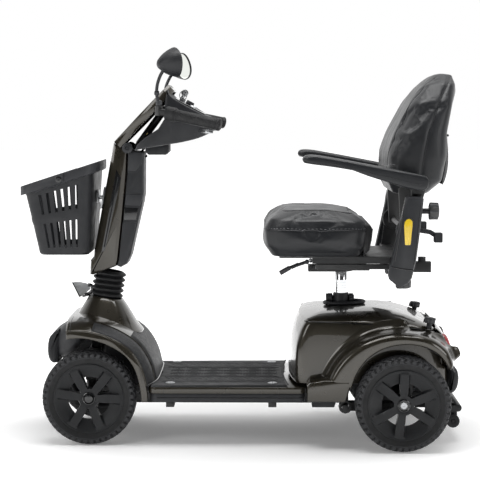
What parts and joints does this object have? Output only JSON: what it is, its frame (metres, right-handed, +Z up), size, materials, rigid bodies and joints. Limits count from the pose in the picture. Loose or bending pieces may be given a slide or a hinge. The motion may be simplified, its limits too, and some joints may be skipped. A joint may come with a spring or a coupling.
{
  "type": "mobility scooter",
  "caption": "Four-wheel mobility scooter with folding tiller, front basket, wing mirrors, padded swivel seat with lifting armrests, sprung rear axle and anti-tip wheels",
  "frame": {"origin": "on the ground, under the centre of the overall box", "axes": "+Z up, the scooter faces -X, its left side is -Y"},
  "size_m": [1.316, 0.649, 1.1687],
  "materials": {
    "olive_gloss": "gloss metallic olive bronze paint on moulded plastic",
    "black_plastic": "satin black moulded plastic with a fine grain",
    "frame_steel": "black powder coated steel",
    "wheel_alloy": "dark satin painted cast rim",
    "tyre_rubber": "black tyre rubber with block tread",
    "soft_rubber": "matt black rubber",
    "vinyl": "black grained vinyl with grey stitching",
    "chrome_steel": "polished chrome",
    "zinc_steel": "zinc plated steel",
    "red_lens": "red moulded lens",
    "clear_lens": "silver reflector behind a clear lens"
  },
  "bodies": {
    "chassis": {"main_frame": "frame_steel", "seat_tube": "frame_steel", "battery_pack": "black_plastic", "floor_pan": "olive_gloss", "deck_tray": "black_plastic", "floor_mat": "soft_rubber", "front_cover": "olive_gloss", "front_bumper": "black_plastic", "headlight": "clear_lens", "rear_cover": "olive_gloss", "rear_bumper": "black_plastic", "tail_light_left": "red_lens", "tail_light_right": "red_lens"},
    "suspension": {"rear_axle": "frame_steel", "drive_motor": "zinc_steel", "anti_tip_bar": "frame_steel"},
    "freewheel": {"freewheel_lever": "red_lens"},
    "rear_wheel_left": {"rear_tyre_left": "tyre_rubber", "rear_rim_left": "wheel_alloy"},
    "rear_wheel_right": {"rear_tyre_right": "tyre_rubber", "rear_rim_right": "wheel_alloy"},
    "tip_wheel_left": {"anti_tip_wheel_left": "soft_rubber"},
    "tip_wheel_right": {"anti_tip_wheel_right": "soft_rubber"},
    "steering": {"steering_column": "frame_steel", "bellows": "soft_rubber"},
    "stub_left": {"knuckle_left": "frame_steel"},
    "stub_right": {"knuckle_right": "frame_steel"},
    "front_wheel_left": {"front_tyre_left": "tyre_rubber", "front_rim_left": "wheel_alloy"},
    "front_wheel_right": {"front_tyre_right": "tyre_rubber", "front_rim_right": "wheel_alloy"},
    "track_rod_left": {"tie_rod_left": "zinc_steel"},
    "track_rod_right": {"tie_rod_right": "zinc_steel"},
    "tiller": {"tiller_front_shell": "olive_gloss", "tiller_rear_shell": "black_plastic", "head_panel": "olive_gloss", "dash_housing": "black_plastic", "handlebar": "frame_steel", "grip_left": "soft_rubber", "grip_right": "soft_rubber", "basket_bracket": "zinc_steel"},
    "throttle": {"throttle_lever": "zinc_steel"},
    "key": {"ignition_key": "zinc_steel"},
    "dial": {"speed_knob": "black_plastic"},
    "horn": {"horn_button": "zinc_steel"},
    "wing_mirror_left": {"mirror_left": "black_plastic"},
    "wing_mirror_right": {"mirror_right": "black_plastic"},
    "front_basket": {"basket": "black_plastic"},
    "carry_handle": {"basket_handle": "black_plastic"},
    "seat_column": {"seat_post": "chrome_steel"},
    "turntable": {"seat_swivel": "frame_steel"},
    "seat": {"seat_frame": "frame_steel", "seat_cushion": "vinyl", "side_cover_left": "black_plastic", "side_cover_right": "black_plastic"},
    "seat_slide_handle": {"slide_lever": "black_plastic"},
    "seat_turn_handle": {"swivel_lever": "zinc_steel"},
    "seat_back": {"backrest": "vinyl"},
    "arm_left": {"armrest_left": "black_plastic"},
    "arm_right": {"armrest_right": "black_plastic"}
  },
  "joints": [
    {"name": "steer", "type": "hinge", "parent": "chassis", "child": "steering", "pos_m": [-0.412, 0, 0.46], "axis": [0.1564, 0, 0.9877], "range_deg": [-35, 35]},
    {"name": "tiller_tilt", "type": "hinge", "parent": "steering", "child": "tiller", "pos_m": [-0.412, 0, 0.46], "axis": [0, -1, 0], "range_deg": [-25, 0]},
    {"name": "suspension_swing", "type": "hinge", "parent": "chassis", "child": "suspension", "pos_m": [0.305, 0, 0.116], "axis": [0, 1, 0], "range_deg": [-3, 3], "stiffness_Nm_per_rad": 6000, "springref_deg": 0.97},
    {"name": "freewheel_turn", "type": "hinge", "parent": "suspension", "child": "freewheel", "pos_m": [0.488, -0.078, 0.172], "axis": [0, -1, 0], "range_deg": [0, 60]},
    {"name": "knuckle_turn_left", "type": "hinge", "parent": "chassis", "child": "stub_left", "pos_m": [-0.452, -0.14, 0.14], "axis": [0, 0, 1], "range_deg": [-31.5, 31.5]},
    {"name": "track_rod_turn_left", "type": "hinge", "parent": "steering", "child": "track_rod_left", "pos_m": [-0.3947, -0.008, 0.1775], "axis": [0.1564, 0, 0.9877], "range_deg": [-35, 35]},
    {"name": "front_wheel_spin_left", "type": "hinge", "parent": "stub_left", "child": "front_wheel_left", "pos_m": [-0.452, -0.19, 0.14], "axis": [0, 1, 0], "continuous": true},
    {"name": "rear_wheel_spin_left", "type": "hinge", "parent": "suspension", "child": "rear_wheel_left", "pos_m": [0.468, -0.282, 0.14], "axis": [0, 1, 0], "continuous": true},
    {"name": "tip_wheel_spin_left", "type": "hinge", "parent": "suspension", "child": "tip_wheel_left", "pos_m": [0.63, -0.15, 0.062], "axis": [0, 1, 0], "continuous": true},
    {"name": "mirror_turn_left", "type": "hinge", "parent": "tiller", "child": "wing_mirror_left", "pos_m": [-0.243, -0.19, 1.003], "axis": [0, 0, 1], "range_deg": [-25, 25]},
    {"name": "armrest_lift_left", "type": "hinge", "parent": "seat", "child": "arm_left", "pos_m": [0.505, -0.272, 0.78], "axis": [0, 1, 0], "range_deg": [0, 95]},
    {"name": "knuckle_turn_right", "type": "hinge", "parent": "chassis", "child": "stub_right", "pos_m": [-0.452, 0.14, 0.14], "axis": [0, 0, 1], "range_deg": [-31.5, 31.5]},
    {"name": "track_rod_turn_right", "type": "hinge", "parent": "steering", "child": "track_rod_right", "pos_m": [-0.3947, 0.008, 0.1775], "axis": [0.1564, 0, 0.9877], "range_deg": [-35, 35]},
    {"name": "front_wheel_spin_right", "type": "hinge", "parent": "stub_right", "child": "front_wheel_right", "pos_m": [-0.452, 0.19, 0.14], "axis": [0, 1, 0], "continuous": true},
    {"name": "rear_wheel_spin_right", "type": "hinge", "parent": "suspension", "child": "rear_wheel_right", "pos_m": [0.468, 0.282, 0.14], "axis": [0, 1, 0], "continuous": true},
    {"name": "tip_wheel_spin_right", "type": "hinge", "parent": "suspension", "child": "tip_wheel_right", "pos_m": [0.63, 0.15, 0.062], "axis": [0, 1, 0], "continuous": true},
    {"name": "mirror_turn_right", "type": "hinge", "parent": "tiller", "child": "wing_mirror_right", "pos_m": [-0.243, 0.19, 1.003], "axis": [0, 0, 1], "range_deg": [-25, 25]},
    {"name": "armrest_lift_right", "type": "hinge", "parent": "seat", "child": "arm_right", "pos_m": [0.505, 0.272, 0.78], "axis": [0, 1, 0], "range_deg": [0, 95]},
    {"name": "throttle_turn", "type": "hinge", "parent": "tiller", "child": "throttle", "pos_m": [-0.16, 0, 0.926], "axis": [0, 0, 1], "range_deg": [-12, 12], "stiffness_Nm_per_rad": 1},
    {"name": "key_turn", "type": "hinge", "parent": "tiller", "child": "key", "pos_m": [-0.19, -0.018, 1.0127], "axis": [0.4899, 0, 0.8718], "range_deg": [0, 90]},
    {"name": "dial_turn", "type": "hinge", "parent": "tiller", "child": "dial", "pos_m": [-0.166, 0.014, 0.9994], "axis": [0.4899, 0, 0.8718], "range_deg": [-135, 135]},
    {"name": "horn_press", "type": "slide", "parent": "tiller", "child": "horn", "axis": [-0.4899, 0, -0.8718], "range_m": [0, 0.002], "stiffness_N_per_m": 300},
    {"name": "basket_lift", "type": "slide", "parent": "tiller", "child": "front_basket", "axis": [0, 0, 1], "range_m": [0, 0.08]},
    {"name": "basket_handle_lift", "type": "hinge", "parent": "front_basket", "child": "carry_handle", "pos_m": [-0.541, 0, 0.794], "axis": [0, 1, 0], "range_deg": [0, 100]},
    {"name": "seat_height", "type": "slide", "parent": "chassis", "child": "seat_column", "axis": [0, 0, 1], "range_m": [0, 0.06]},
    {"name": "seat_turn", "type": "hinge", "parent": "seat_column", "child": "turntable", "pos_m": [0.301, 0, 0.5], "axis": [0, 0, 1], "range_deg": [0, 90]},
    {"name": "seat_slide", "type": "slide", "parent": "turntable", "child": "seat", "axis": [1, 0, 0], "range_m": [-0.06, 0]},
    {"name": "slide_handle_lift", "type": "hinge", "parent": "seat", "child": "seat_slide_handle", "pos_m": [0.192, -0.158, 0.54], "axis": [0, 1, 0], "range_deg": [0, 10], "stiffness_Nm_per_rad": 1},
    {"name": "turn_handle_lift", "type": "hinge", "parent": "turntable", "child": "seat_turn_handle", "pos_m": [0.21, 0.064, 0.522], "axis": [0, 1, 0], "range_deg": [0, 10], "stiffness_Nm_per_rad": 1},
    {"name": "backrest_fold", "type": "hinge", "parent": "seat", "child": "seat_back", "pos_m": [0.48, 0, 0.64], "axis": [0, -1, 0], "range_deg": [0, 38]}
  ],
  "couplings": [
    {"joint": "knuckle_turn_left", "follows": "steer", "ratio": 0.9},
    {"joint": "knuckle_turn_right", "follows": "steer", "ratio": 0.9},
    {"joint": "track_rod_turn_left", "follows": "steer", "ratio": -1},
    {"joint": "track_rod_turn_right", "follows": "steer", "ratio": -1}
  ]
}
